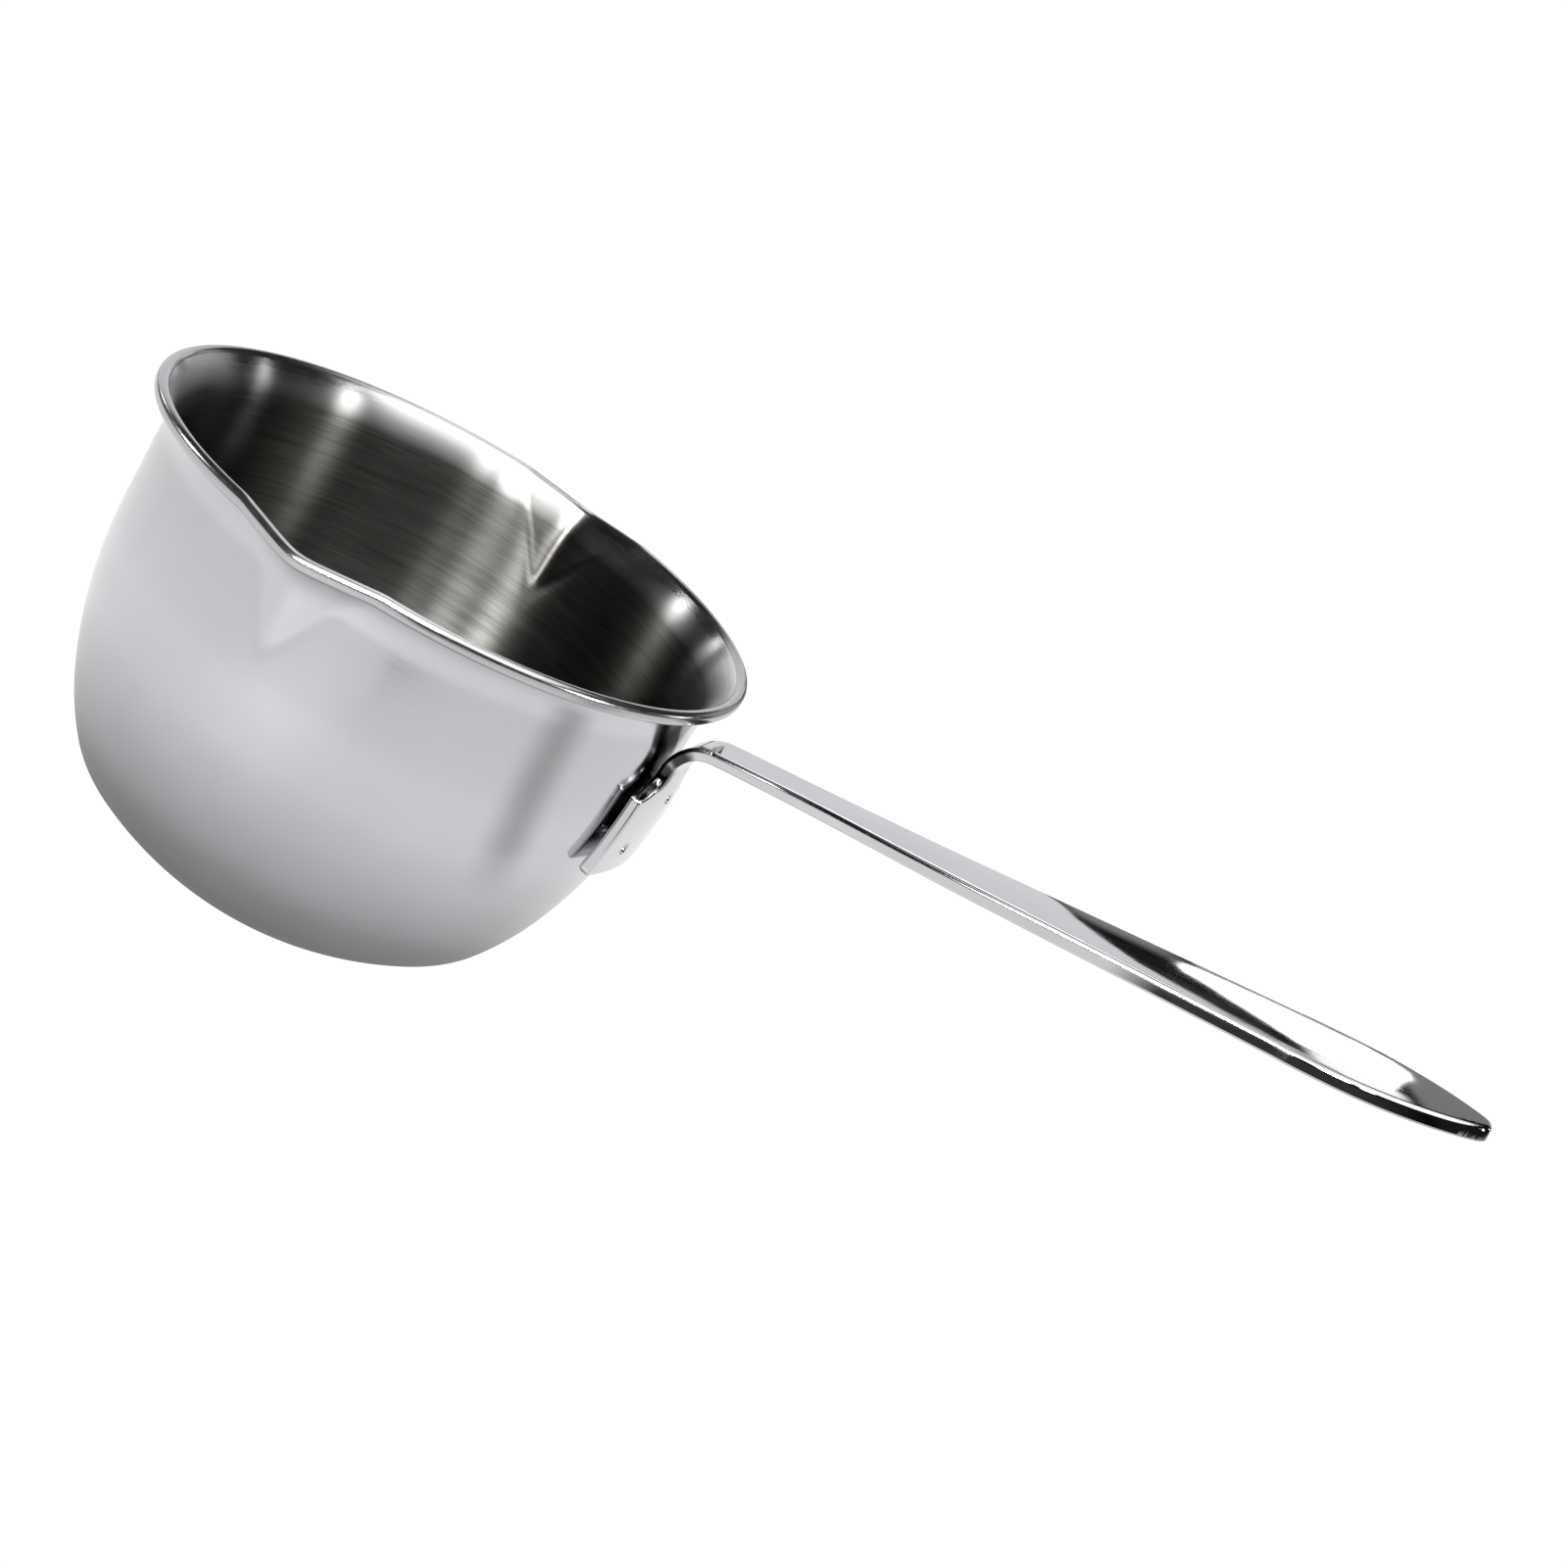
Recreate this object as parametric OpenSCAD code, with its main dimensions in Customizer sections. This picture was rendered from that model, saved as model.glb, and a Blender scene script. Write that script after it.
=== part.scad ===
// Candle melting pot: a drawn sheet-metal bowl with two pressed pouring beaks
// in its curled rim, and a one-piece strip handle projection-welded to the wall.
// Origin: centre of the flat base. +Z is up, the handle points along +X and the
// beaks face +Y and -Y. Millimetres.

/* [Bowl] */
// Height from the table to the top of the rim
pot_h = 83; // [80:1:95]
// Outside radius of the straight wall
wall_r = 57.6; // [54:0.2:62]
// Thickness of the drawn sheet
sheet_t = 1; // [0.8:0.1:1.2]
// Height of the flared band under the rim
flare_h = 10; // [9:0.5:11]
// Radius of the flare's curve
flare_r = 13; // [12:0.5:15]
// Radius of the curl at the rim
curl_r = 1.2; // [1.1:0.05:1.3]
// How much taller than round the curl is
curl_drop = 0.5; // [0.3:0.1:0.8]

/* [Bowl bottom] */
// Rise of the bottom at the edge of the flat base, degrees
foot_slope = 21; // [18:1:24]
// Curve radius of the bottom next to the flat base
bottom_r = 70; // [60:1:80]
// Curve radius of the knuckle where bottom turns into side
knuckle_r = 15; // [12:1:20]
// Curve radius of the lower side
side_r = 55; // [50:1:60]
// Curve radius that runs into the straight wall
upper_r = 96; // [90:1:100]

/* [Pouring beaks] */
// Half of the angle that a beak takes out of the rim, degrees
beak_half = 14.5; // [13:0.5:16]
// How far the point of a beak stands out of the round rim
beak_reach = 2.8; // [2.2:0.1:3.4]
// How far the rim drops at the point of a beak
beak_dip = 1.8; // [1:0.1:2.4]
// Backward lean of a beak's two faces, degrees
beak_lean = 6.5; // [5.5:0.5:8]

/* [Handle] */
// Thickness of the handle strip at the plate and the neck
strip_t = 2.5; // [2:0.1:2.8]
// Depth of the grip's sides, with their turned-down edges
grip_t = 3.2; // [2.8:0.1:3.6]
// Depth of the shallow hollow under the grip
hollow_d = 1.4; // [0.8:0.1:1.6]
// Width of the edge left round the hollow
edge_w = 2.4; // [2:0.1:3]
// Upward slope of the grip, degrees
grip_slope = 9.8; // [5:0.2:12]
// Distance from the bowl's centre to the handle's tip
handle_reach = 216.4; // [200:0.4:235]
// Half of the neck's width
neck_w = 5.7; // [5:0.1:7]
// Half of the grip's width at its widest
grip_w = 12.9; // [11:0.1:14]
// Side curve radius of the grip's pointed end
tip_side_r = 44; // [40:1:50]
// Radius that rounds the very tip
tip_r = 4; // [3:0.5:5]
// Outer bend radius where the strip leaves the plate
bend_r = 8.9; // [8:0.1:10]
// Height at which the strip starts to bend
bend_z = 67.9; // [66:0.1:68.5]

/* [Root plate and welds] */
// Half of the root plate's width at its shoulders
plate_w = 10.8; // [10:0.2:13]
// Half of the root plate's width at its bottom edge
plate_low_w = 12.6; // [11:0.2:14]
// Height of the plate's bottom edge
plate_z = 44.8; // [42:0.2:47]
// Height where the plate starts to narrow into the neck
shoulder_z = 62.4; // [61:0.2:63]
// Gap between the plate and the wall, held by the welds
weld_gap = 1; // [0.8:0.1:1.2]
// Diameter of a weld
weld_d = 3; // [2.5:0.1:4]
// Depth of the dimple over each weld
dimple_h = 0.9; // [0.6:0.1:1.1]

/* [Hidden] */
$fn = 96;

// angles along the bottom, from the flat base to the straight wall
knuckle_a = 37;
side_a = 56.5;
upper_a = 70;

function polar(c, r, a) = [c[0] + r * cos(a), c[1] + r * sin(a)];
function span(c, r, a, b, n) = [for (i = [0 : n]) polar(c, r, a + (b - a) * i / n)];
function rise(r, a, b) = [r * (sin(b) - sin(a)), r * (cos(a) - cos(b))];

// Four tangent arcs climb from the flat base to the wall.
d1 = rise(bottom_r, foot_slope, knuckle_a);
d2 = rise(knuckle_r, knuckle_a, side_a);
d3 = rise(side_r, side_a, upper_a);
d4 = rise(upper_r, upper_a, 90);
base_r = wall_r - d1[0] - d2[0] - d3[0] - d4[0];
p0 = [base_r, 0];
p1 = p0 + d1;
p2 = p1 + d2;
p3 = p2 + d3;
p4 = p3 + d4;

function centre(p, r, a) = [p[0] - r * sin(a), p[1] + r * cos(a)];

// Side of the bowl from the base to the top of the fourth arc, moved out by off.
function side_path(off, n1 = 6, n2 = 6, n3 = 5, n4 = 8) = concat(
    span(centre(p0, bottom_r, foot_slope), bottom_r + off, foot_slope - 90, knuckle_a - 90, n1),
    [for (i = [1 : n2]) span(centre(p1, knuckle_r, knuckle_a), knuckle_r + off, knuckle_a - 90, side_a - 90, n2)[i]],
    [for (i = [1 : n3]) span(centre(p2, side_r, side_a), side_r + off, side_a - 90, upper_a - 90, n3)[i]],
    [for (i = [1 : n4]) span(centre(p3, upper_r, upper_a), upper_r + off, upper_a - 90, 0, n4)[i]]
);

// The flare turns outward round flare_c; the curl sits tangent to its inside.
flare_z = pot_h - flare_h;
flare_c = [wall_r + flare_r, flare_z];
curl_z = pot_h - curl_r;
curl_x = flare_c[0] - sqrt(pow(flare_r + sheet_t - curl_r, 2) - pow(curl_z - flare_z, 2));
curl_c = [curl_x, curl_z];
curl_lo = [curl_x, curl_z - curl_drop];
meet_in = atan2(curl_z - flare_z, flare_c[0] - curl_x);
lo_dist = norm(curl_lo - flare_c);
meet_out = atan2(curl_lo[1] - flare_z, flare_c[0] - curl_x)
    - acos((flare_r * flare_r + lo_dist * lo_dist - curl_r * curl_r) / (2 * flare_r * lo_dist));
meet_pt = polar(flare_c, flare_r, 180 - meet_out);
curl_from = atan2(meet_pt[1] - curl_lo[1], meet_pt[0] - curl_lo[0]);

// Rim section, outside going up and round the curl to its top.
rim_out = concat(
    span(flare_c, flare_r, 180, 180 - meet_out, 6),
    [for (i = [1 : 7]) span(curl_lo, curl_r, curl_from, 0, 7)[i]],
    span(curl_c, curl_r, 0, 90, 5)
);
// Rim section, inside going down from the top of the curl.
rim_in = concat(
    [for (i = [1 : 3]) span(curl_c, curl_r, 90, 180 - meet_in, 3)[i]],
    [for (i = [1 : 7]) span(flare_c, flare_r + sheet_t, 180 - meet_in, 180, 7)[i]]
);

function backward(v) = [for (i = [len(v) - 1 : -1 : 0]) v[i]];
function from_second(v) = [for (i = [1 : len(v) - 1]) v[i]];

floor_pt = [base_r - sheet_t * tan(foot_slope / 2), sheet_t];
inside_up = concat([floor_pt], from_second(side_path(-sheet_t)));

// Section of the drawn shell, and of the space inside it.
shell_section = concat([[0, 0], [base_r, 0]], from_second(side_path(0)), rim_out, rim_in,
    backward(inside_up), [[0, sheet_t]]);
space_section = concat([[0, sheet_t]], inside_up, backward(rim_in), [[curl_x, pot_h], [curl_x, pot_h + 6], [0, pot_h + 6]]);

// Beak faces: straight runs of the rim section, leaning back, which meet in a V.
rim_end = [curl_x * sin(beak_half), curl_x * cos(beak_half)];
beak_tip = [0, curl_x + beak_reach];
face_run = norm(rim_end - beak_tip);
face_yaw = atan2(beak_tip[1] - rim_end[1], rim_end[0]);
face_pitch = atan(beak_dip / face_run);
face_low = -38;

function lean(p) = [
    p[0] * cos(beak_lean) + p[1] * sin(beak_lean),
    -p[0] * sin(beak_lean) + p[1] * cos(beak_lean)
];
function about_curl(v) = [for (p = v) lean(p - curl_c)];

face_section = about_curl(concat([[wall_r, curl_z + face_low]], rim_out, rim_in, [[wall_r - sheet_t, curl_z + face_low]]));
face_space = concat(
    about_curl(concat(backward(rim_in), [[curl_x, pot_h]])),
    [[4, 9], [-24, 9], [-24, face_low], lean([wall_r - sheet_t - curl_x, face_low])]
);

module run_face(section) {
    intersection() {
        translate([0, beak_tip[1], curl_z - beak_dip])
            rotate([0, 0, 90 - face_yaw]) rotate([90, 0, 0]) rotate([-face_pitch, 0, 0])
                translate([0, 0, -12]) linear_extrude(height = face_run + 24) polygon(section);
        translate([0, 0, 30]) linear_extrude(height = pot_h)
            polygon([[0, 0], [0, 110], [110 * tan(beak_half), 110]]);
    }
}

module both_faces(section) {
    run_face(section);
    mirror([1, 0, 0]) run_face(section);
}

module both_beaks() {
    children();
    mirror([0, 1, 0]) children();
}

module inside_space() {
    rotate_extrude() polygon(space_section);
}

module pot_bowl() {
    color("silver") {
        difference() {
            rotate_extrude() polygon(shell_section);
            both_beaks() both_faces(face_space);
        }
        difference() {
            both_beaks() both_faces(face_section);
            inside_space();
        }
    }
}

// Handle: the root plate follows the wall at weld_gap, the strip bends outward
// over bend_r, and the grip runs on straight at grip_slope, with its edges
// turned down round a shallow hollow.
plate_in = wall_r + weld_gap;
turn_a = 90 + grip_slope;
bend_c = [plate_in + bend_r, bend_z];
join_x = plate_in + bend_r + 2.5;

// The plate's face at distance off from the wall, upward from the plate's edge.
function plate_path(off) = [for (p = side_path(off, n4 = 16)) if (p[1] > plate_z - 4) p];

bend_over = span(bend_c, bend_r, 180, turn_a, 10);
bend_under = span(bend_c, bend_r - strip_t, 180, turn_a, 10);
along = [cos(grip_slope), sin(grip_slope)];
past = 8;
root_section = concat(
    plate_path(weld_gap), bend_over, [bend_over[10] + past * along],
    [bend_under[10] + past * along], backward(bend_under), backward(plate_path(weld_gap + strip_t))
);

// Shoulder: a concave curve from the plate's upper corner to the neck's side.
shoulder_d = plate_w - neck_w;
shoulder = [for (i = [0 : 10]) [
    neck_w + shoulder_d * (1 - sin(9 * i)),
    shoulder_z + shoulder_d * (1 - cos(9 * i)) * 1.15
]];
half_plate = concat([[plate_low_w, plate_z]], shoulder, [[neck_w, 95]]);

function flip(v) = [for (i = [len(v) - 1 : -1 : 0]) [-v[i][0], v[i][1]]];

// Height of the grip's upper face at distance x from the bowl's centre.
top_at = function (x) bend_over[10][1] + (x - bend_over[10][0]) * tan(grip_slope);

// Plan of the grip along its own slope: neck, straight taper, then two side
// curves that close in a rounded point.
grip_len = (handle_reach - join_x) / cos(grip_slope);
side_drop = tip_side_r - grip_w;
tip_centre = grip_len - tip_r;
belly = tip_centre - sqrt(pow(tip_side_r - tip_r, 2) - side_drop * side_drop);
tip_touch = asin(side_drop / (tip_side_r - tip_r));
neck_end = 14;
ease = 14;
slope_w = (grip_w - neck_w) / (belly - neck_end);
half_grip = concat(
    [[0, neck_w]],
    [for (i = [0 : 8]) [neck_end - ease / 2 + ease * i / 8, neck_w + slope_w * ease * pow(i / 8, 2) / 2]],
    [for (i = [0 : 8]) [belly - ease / 2 + (ease / 2) * i / 8,
        grip_w - slope_w * (ease / 2) * pow(1 - i / 8, 2) / 2]],
    [for (i = [1 : 16]) [belly + tip_side_r * cos(90 - (90 - tip_touch) * i / 16),
        tip_side_r * sin(90 - (90 - tip_touch) * i / 16) - side_drop]],
    [for (i = [1 : 5]) [tip_centre + tip_r * cos(tip_touch - tip_touch * i / 5), tip_r * sin(tip_touch - tip_touch * i / 5)]]
);
other_half = [for (i = [len(half_grip) - 2 : -1 : 0]) [half_grip[i][0], -half_grip[i][1]]];

// Side view of the grip: its sides deepen from the neck over the first stretch.
swell = 46;
grip_side = [[-4, 0], [grip_len + 2, 0], [grip_len + 2, -grip_t], [swell, -grip_t], [0, -strip_t], [-4, -strip_t]];

// Plan of the hollow under the grip, edge_w inside the outline.
half_hollow = [for (p = half_grip) if (p[0] > neck_end - ease / 2 - 0.1 && p[0] < tip_centre - 0.5 && p[1] > edge_w + 0.3)
    [p[0], p[1] - edge_w]];
other_hollow = [for (i = [len(half_hollow) - 1 : -1 : 0]) [half_hollow[i][0], -half_hollow[i][1]]];

module on_grip() {
    translate([join_x, 0, top_at(join_x)]) rotate([0, -grip_slope, 0]) children();
}

module grip() {
    difference() {
        intersection() {
            on_grip() translate([0, 0, -grip_t]) linear_extrude(height = grip_t)
                polygon(concat([[-4, -neck_w], [-4, neck_w]], half_grip, other_half));
            on_grip() rotate([90, 0, 0]) linear_extrude(height = 60, center = true) polygon(grip_side);
            translate([join_x, -50, 0]) cube([handle_reach, 100, 200]);
        }
        on_grip() translate([0, 0, -grip_t - 1]) linear_extrude(height = hollow_d + 1)
            polygon(concat(half_hollow, other_hollow));
    }
}

module root() {
    intersection() {
        rotate_extrude() polygon(root_section);
        translate([join_x, 0, 0]) rotate([90, 0, -90])
            linear_extrude(height = 30) polygon(concat(half_plate, flip(half_plate)));
    }
}

// Weld places: [sideways, height], one low and one high across the plate.
welds = [[-4.5, 50.7], [3.6, 61]];
function wall_at(z) = z > p4[1] ? wall_r : centre(p3, upper_r, upper_a)[0] + sqrt(upper_r * upper_r - pow(z - p4[1], 2));

module at_welds() {
    for (w = welds)
        rotate([0, 0, asin(w[0] / wall_at(w[1]))])
            translate([wall_at(w[1]), 0, w[1]]) rotate([0, 90, 0]) children();
}

module handle() {
    color("gainsboro") difference() {
        union() {
            root();
            grip();
        }
        dimple_r = (weld_d * weld_d / 4 + dimple_h * dimple_h) / (2 * dimple_h);
        at_welds() translate([0, 0, weld_gap + strip_t - dimple_h + dimple_r]) sphere(r = dimple_r);
    }
}

module weld_nuggets() {
    color("slategray") intersection() {
        at_welds() translate([0, 0, -2]) cylinder(d = weld_d, h = 5);
        rotate_extrude() polygon(concat(
            plate_path(0), [[wall_r, flare_z]], [[plate_in, flare_z]], backward(plate_path(weld_gap))));
    }
}

pot_bowl();
handle();
weld_nuggets();
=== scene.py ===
import bpy, bmesh, math
from mathutils import Vector, Matrix


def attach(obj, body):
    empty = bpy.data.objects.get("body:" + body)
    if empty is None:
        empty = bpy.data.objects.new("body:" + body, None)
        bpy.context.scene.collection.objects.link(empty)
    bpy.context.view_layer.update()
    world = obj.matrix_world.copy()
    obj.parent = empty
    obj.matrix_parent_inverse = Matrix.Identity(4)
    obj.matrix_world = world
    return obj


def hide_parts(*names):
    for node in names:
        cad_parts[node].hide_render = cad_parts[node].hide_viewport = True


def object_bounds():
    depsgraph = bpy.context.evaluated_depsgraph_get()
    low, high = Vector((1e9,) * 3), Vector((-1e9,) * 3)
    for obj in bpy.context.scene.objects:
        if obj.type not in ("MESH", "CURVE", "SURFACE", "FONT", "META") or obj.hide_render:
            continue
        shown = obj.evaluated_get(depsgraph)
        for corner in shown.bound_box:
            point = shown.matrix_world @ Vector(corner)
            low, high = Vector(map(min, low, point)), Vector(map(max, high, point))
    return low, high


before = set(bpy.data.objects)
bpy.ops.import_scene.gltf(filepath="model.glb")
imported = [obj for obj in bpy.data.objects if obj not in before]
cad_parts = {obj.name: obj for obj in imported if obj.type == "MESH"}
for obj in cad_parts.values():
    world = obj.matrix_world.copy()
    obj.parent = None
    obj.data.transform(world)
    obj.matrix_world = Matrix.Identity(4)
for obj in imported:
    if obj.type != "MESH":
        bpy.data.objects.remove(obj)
cad_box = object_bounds()

MM = 0.001
sin, cos, tan, pi, sqrt = math.sin, math.cos, math.tan, math.pi, math.sqrt
rad, deg = math.radians, math.degrees


# ---------------------------------------------------------------- helpers
def link(obj):
    bpy.context.scene.collection.objects.link(obj)
    return obj


def mesh_object(name, verts, faces, smooth=True):
    me = bpy.data.meshes.new(name)
    me.from_pydata([(x * MM, y * MM, z * MM) for x, y, z in verts], [], faces)
    me.validate()
    bm = bmesh.new()
    bm.from_mesh(me)
    bmesh.ops.recalc_face_normals(bm, faces=bm.faces)
    bm.to_mesh(me)
    bm.free()
    for p in me.polygons:
        p.use_smooth = smooth
    return link(bpy.data.objects.new(name, me))


def smooth01(a, b, x):
    t = min(1.0, max(0.0, (x - a) / (b - a)))
    return t * t * (3 - 2 * t)


# ---------------------------------------------------------------- bowl sizes (mm), as in part.scad
POT_H, WALL_R, SHEET = 83.0, 57.6, 1.0
FLARE_H, FLARE_R, CURL_R, CURL_DROP = 10.0, 13.0, 1.2, 0.5
ARCS = [(70.0, 21.0, 37.0), (15.0, 37.0, 56.5), (55.0, 56.5, 70.0), (96.0, 70.0, 90.0)]
BEAK_HALF, BEAK_REACH, BEAK_DIP, BEAK_LEAN = rad(14.5), 2.8, 1.8, rad(6.5)

rises = [(R * (sin(rad(b)) - sin(rad(a))), R * (cos(rad(a)) - cos(rad(b)))) for R, a, b in ARCS]
BASE_R = WALL_R - sum(d[0] for d in rises)
FLARE_Z = POT_H - FLARE_H
FLARE_C = (WALL_R + FLARE_R, FLARE_Z)
CURL_Z = POT_H - CURL_R
CURL_X = FLARE_C[0] - sqrt((FLARE_R + SHEET - CURL_R) ** 2 - (CURL_Z - FLARE_Z) ** 2)
MEET_IN = math.atan2(CURL_Z - FLARE_Z, FLARE_C[0] - CURL_X)


def arc(cx, cz, r, a, b, n, first=True):
    return [(cx + r * cos(a + (b - a) * i / n), cz + r * sin(a + (b - a) * i / n)) for i in range(0 if first else 1, n + 1)]


def side(off, counts):
    """The bowl's side from the foot corner to the straight wall, moved out by off."""
    pts = []
    p = (BASE_R, 0.0)
    for k, (R, a, b) in enumerate(ARCS):
        c = (p[0] - R * sin(rad(a)), p[1] + R * cos(rad(a)))
        pts += arc(c[0], c[1], R + off, rad(a - 90), rad(b - 90), counts[k], first=(k == 0))
        p = (p[0] + rises[k][0], p[1] + rises[k][1])
    return pts, p


def foot(off, r_c):
    """Rounds the corner between the flat base (moved by off) and the first slope."""
    a0 = rad(ARCS[0][1])
    h = r_c * tan(a0 / 2)
    z = -off
    x = BASE_R + off * tan(a0 / 2) if off > 0 else BASE_R + off * tan(a0 / 2)
    return arc(x - h, z + r_c, r_c, -pi / 2, -pi / 2 + a0, 6)


outer_side, p_top = side(0.0, (12, 12, 10, 26))
inner_side, _ = side(-SHEET, (12, 12, 10, 26))
outer_foot = foot(0.0, 7.0)
inner_foot = foot(-SHEET, 6.0)
outer_side = [p for p in outer_side if p[0] > outer_foot[-1][0] + 0.8]
inner_side = [p for p in inner_side if p[0] > inner_foot[-1][0] + 0.8]

# rolled rim: sheet climbs the flare, turns over and comes down outside, leaving a fine seam under it
lo = (CURL_X, CURL_Z - CURL_DROP)
SEAM_GAP = 0.16
lo_d = math.hypot(lo[0] - FLARE_C[0], lo[1] - FLARE_C[1])
meet_out = math.atan2(lo[1] - FLARE_Z, FLARE_C[0] - lo[0]) - math.acos((FLARE_R ** 2 + lo_d ** 2 - CURL_R ** 2) / (2 * FLARE_R * lo_d))
meet = (FLARE_C[0] + FLARE_R * cos(pi - meet_out), FLARE_C[1] + FLARE_R * sin(pi - meet_out))
a_meet = math.atan2(meet[1] - lo[1], meet[0] - lo[0])      # about -155 deg

wall_out = [(WALL_R, p_top[1] + (FLARE_Z - p_top[1]) * i / 10) for i in range(1, 10)]
wall_in = [(WALL_R - SHEET, p_top[1] + (FLARE_Z - p_top[1]) * i / 10) for i in range(1, 10)]
flare_out = arc(FLARE_C[0], FLARE_C[1], FLARE_R, pi, pi - meet_out, 14)
curl_low = arc(lo[0], lo[1], CURL_R, a_meet, 0.0, 14, first=False)
curl_top = arc(CURL_X, CURL_Z, CURL_R, 0.0, pi - MEET_IN, 20)
flare_in = arc(FLARE_C[0], FLARE_C[1], FLARE_R + SHEET, pi - MEET_IN, pi, 18, first=False)
# a shallow seam groove where the curl's edge meets the flare
g = meet
seam = [(g[0] + 0.10, g[1] + 0.34), (g[0] + 0.34, g[1] + 0.10)]
flare_out = flare_out[:-1]
curl_low = curl_low[1:]

profile = (
    [(r, 0.0) for r in (4.0, 9.0, 14.0, 19.0)]
    + outer_foot + outer_side + wall_out + flare_out + seam + curl_low + curl_top + flare_in
    + wall_in[::-1] + inner_side[::-1] + inner_foot[::-1]
    + [(r, SHEET) for r in (19.0, 14.0, 9.0, 4.0)]
)

# beak faces
rim_end = (CURL_X * sin(BEAK_HALF), CURL_X * cos(BEAK_HALF))
tip_y = CURL_X + BEAK_REACH
face_run = math.hypot(rim_end[0], tip_y - rim_end[1])
PHI = math.atan2(tip_y - rim_end[1], rim_end[0])
face_d = tip_y * cos(PHI)


def beak_point(r, z, a):
    """Sheet point (r, z) at angle a (radians, 0 at the beak's point), pressed out into the beak."""
    e = 0.045
    a = sqrt(a * a + e * e) - e * 0.30
    if a >= BEAK_HALF + 0.16:
        return r, z
    u, v = r - CURL_X, z - CURL_Z
    u, v = u * cos(BEAK_LEAN) + v * sin(BEAK_LEAN), -u * sin(BEAK_LEAN) + v * cos(BEAK_LEAN)
    b = min(a, BEAK_HALF)
    rp = (face_d + u) / cos(PHI - b)
    run = face_d * (tan(PHI) - tan(PHI - b))
    zp = CURL_Z + v - BEAK_DIP * (1 - min(1.0, run / face_run)) ** 1.15
    # soft choice between the round wall and the pressed face
    k = 0.5
    t = smooth01(-k, k, rp - r + 0.10)
    t *= 1 - smooth01(BEAK_HALF - 0.06, BEAK_HALF + 0.05, a)
    t *= smooth01(52.0, 60.0, z)
    return r + (rp - r) * t, z + (zp - z) * t


# angles, packed closer round the beaks
quarter = []
t = 0.0
while t < 90.0 - 1e-6:
    quarter.append(t)
    d = 90 - t
    t += 0.25 if d <= 2.5 else 0.5 if d <= 6 else 1.0 if d <= 21 else 1.5
angs = quarter + [90.0] + [180 - q for q in quarter[::-1]] + [180 + q for q in quarter[1:]] + [270.0] + [360 - q for q in quarter[::-1]]
angs = sorted(set(round(a, 5) for a in angs if a < 360))

verts, faces = [(0.0, 0.0, 0.0)], []
NP, NA = len(profile), len(angs)
for (r, z) in profile:
    for a in angs:
        ar = rad(a)
        # angle from the nearest beak's point
        da = min(abs(a - 90), abs(a - 270))
        rr, zz = beak_point(r, z, rad(da)) if (z > 50 and da < 26) else (r, z)
        verts.append((rr * cos(ar), rr * sin(ar), zz))
verts.append((0.0, 0.0, SHEET))
last = len(verts) - 1
for j in range(NA):
    k = (j + 1) % NA
    faces.append((0, 1 + k, 1 + j))
    faces.append((last, 1 + (NP - 1) * NA + j, 1 + (NP - 1) * NA + k))
for i in range(NP - 1):
    for j in range(NA):
        k = (j + 1) % NA
        faces.append((1 + i * NA + j, 1 + i * NA + k, 1 + (i + 1) * NA + k, 1 + (i + 1) * NA + j))
bowl = mesh_object("bowl_shell", verts, faces)
for v in bowl.data.vertices:
    v.co.x = max(v.co.x, cad_box[0][0] + 0.00001)

# faces of the inside, of the rim and of the outside take different finishes
n_out = 4 + len(outer_foot) + len(outer_side) + len(wall_out) + len(flare_out)
n_rim = n_out + len(seam) + len(curl_low) + len(curl_top)


# ---------------------------------------------------------------- handle sizes (mm), as in part.scad
STRIP, GRIP_T, HOLLOW_D, EDGE_W, SWELL = 2.5, 3.2, 1.4, 2.4, 46.0
GRIP_SLOPE, REACH = rad(9.8), 216.4
NECK_W, GRIP_W, TIP_SIDE_R, TIP_R = 5.7, 12.9, 44.0, 4.0
BEND_R, BEND_Z = 8.9, 67.9
PLATE_W, PLATE_LOW_W, PLATE_Z, SHOULDER_Z, GAP = 10.8, 12.6, 44.8, 62.4, 1.0
PLATE_IN = WALL_R + GAP
JOIN_X = 70.0

# flat blank of the handle: s along the strip, y across. s = 0 at the plate's bottom edge
c4 = (p_top[0] - ARCS[3][0], p_top[1])
R4 = ARCS[3][0]


def plate_pt(s_in):
    """Point of the plate's inner face at length s from height PLATE_Z, with its tangent angle."""
    z0 = PLATE_Z
    R = R4 + GAP
    a0 = math.asin((z0 - c4[1]) / R)
    L1 = -a0 * R
    if s_in < L1:
        a = a0 + s_in / R
        return c4[0] + R * cos(a), c4[1] + R * sin(a), pi / 2 + a
    L2 = BEND_Z - c4[1]
    if s_in < L1 + L2:
        return PLATE_IN, c4[1] + s_in - L1, pi / 2
    s = s_in - L1 - L2
    bend_len = BEND_R * (pi / 2 - GRIP_SLOPE)
    cx = PLATE_IN + BEND_R
    if s < bend_len:
        a = pi - s / BEND_R
        return cx + BEND_R * cos(a), BEND_Z + BEND_R * sin(a), a - pi / 2
    a = pi / 2 + GRIP_SLOPE
    x, z = cx + BEND_R * cos(a), BEND_Z + BEND_R * sin(a)
    s -= bend_len
    return x + s * cos(GRIP_SLOPE), z + s * sin(GRIP_SLOPE), GRIP_SLOPE


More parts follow.
